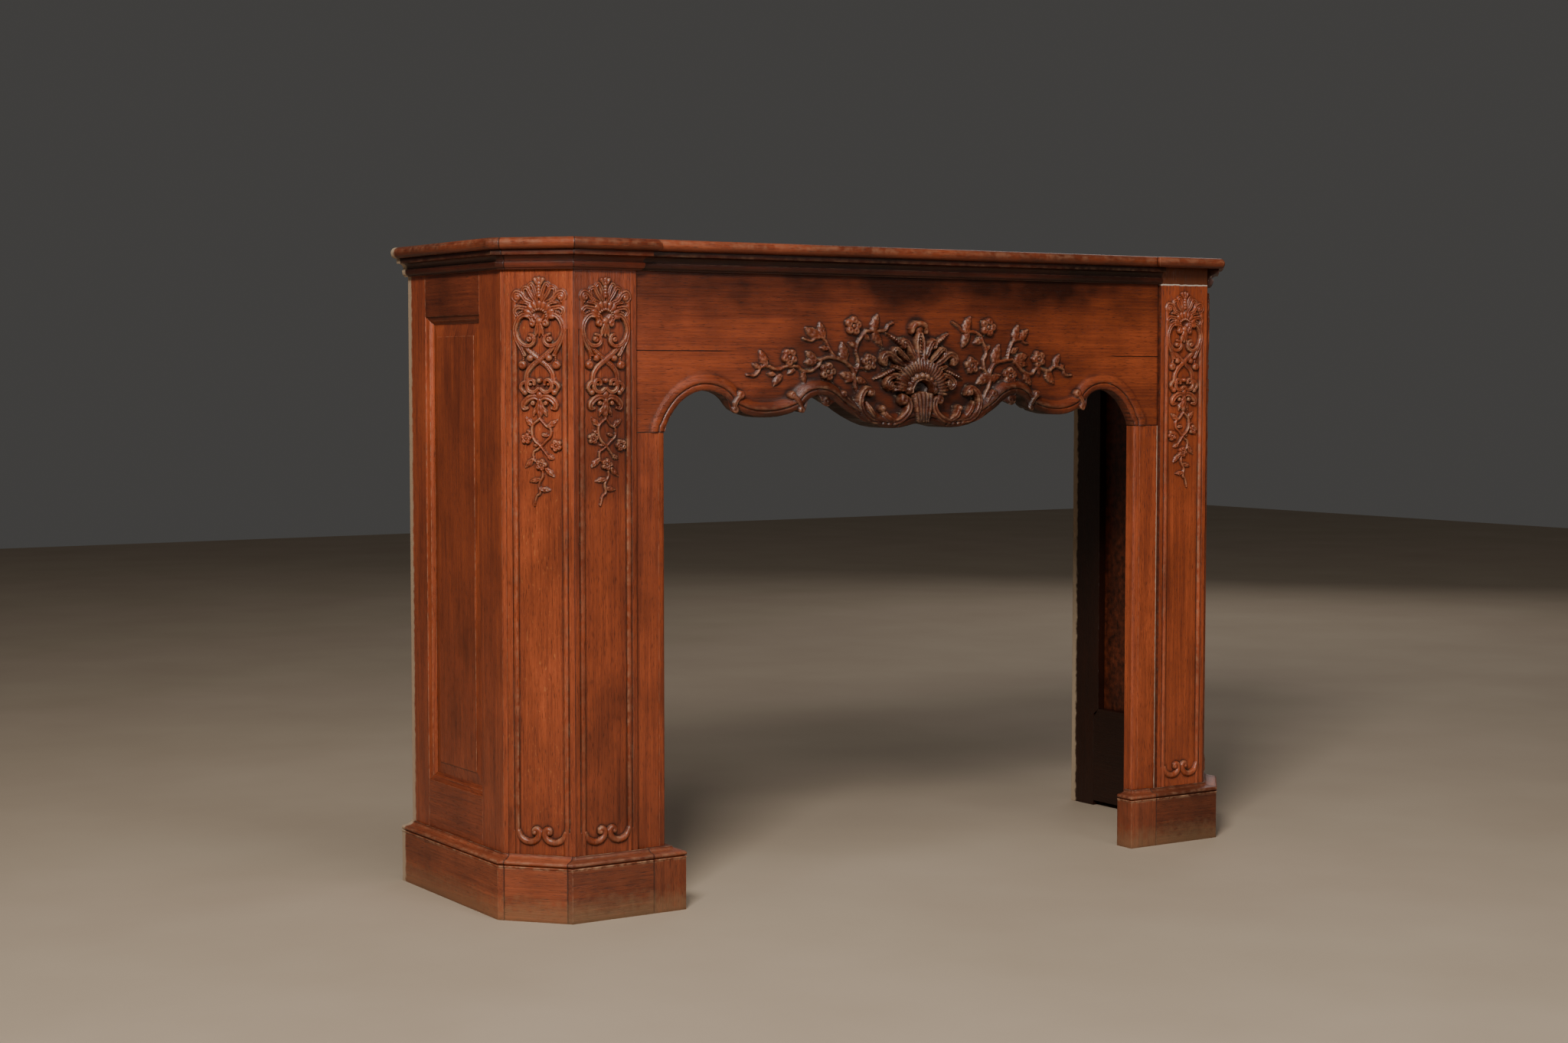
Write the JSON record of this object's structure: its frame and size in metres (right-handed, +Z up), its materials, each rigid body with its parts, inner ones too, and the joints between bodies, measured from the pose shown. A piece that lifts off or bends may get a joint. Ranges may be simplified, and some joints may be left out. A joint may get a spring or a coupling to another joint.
{
  "type": "fireplace mantel",
  "caption": "Free-standing oak fireplace surround with canted corners, panelled sides, moulded shelf, carved pilasters and a scalloped frieze with shell and flowering branches.",
  "frame": {"origin": "on the floor, centre of the bounding box", "axes": "+X along the front to the right as seen from the front, +Y from the front towards the wall, +Z up"},
  "size_m": [1.5804, 0.4838, 1.1],
  "materials": {
    "oak_stained": "stained oak, satin, worn",
    "oak_carved": "stained oak, carved, dark in the hollows and worn on the crests",
    "oak_dark_moulding": "dark stained oak, satin",
    "oak_plinth": "stained oak, dry and bleached towards the floor"
  },
  "bodies": {
    "root": {"cornice_cant_left": "oak_dark_moulding", "cornice_cant_right": "oak_dark_moulding", "cornice_centre": "oak_dark_moulding", "cornice_front_left": "oak_dark_moulding", "cornice_side_left": "oak_dark_moulding", "cornice_side_right": "oak_dark_moulding", "frieze": "oak_carved", "jamb_left": "oak_stained", "jamb_right": "oak_stained", "nosing_cant_left": "oak_stained", "nosing_cant_right": "oak_stained", "nosing_centre": "oak_stained", "nosing_front_left": "oak_stained", "nosing_front_right": "oak_stained", "nosing_side_left": "oak_stained", "nosing_side_right": "oak_stained", "pilaster_cant_left": "oak_carved", "pilaster_cant_right": "oak_carved", "pilaster_front_left": "oak_carved", "pilaster_front_right": "oak_carved", "plinth_cant_left": "oak_plinth", "plinth_cant_right": "oak_plinth", "plinth_front_left": "oak_plinth", "plinth_front_right": "oak_plinth", "plinth_inner_left": "oak_plinth", "plinth_inner_right": "oak_plinth", "plinth_side_left": "oak_plinth", "plinth_side_right": "oak_plinth", "shelf_board": "oak_stained", "side_panel_left": "oak_stained", "side_panel_right": "oak_stained", "side_rail_bottom_left": "oak_stained", "side_rail_bottom_right": "oak_stained", "side_rail_top_left": "oak_stained", "side_rail_top_right": "oak_stained", "side_stile_back_left": "oak_stained", "side_stile_back_right": "oak_stained", "side_stile_front_left": "oak_stained", "side_stile_front_right": "oak_stained"}
  },
  "joints": []
}
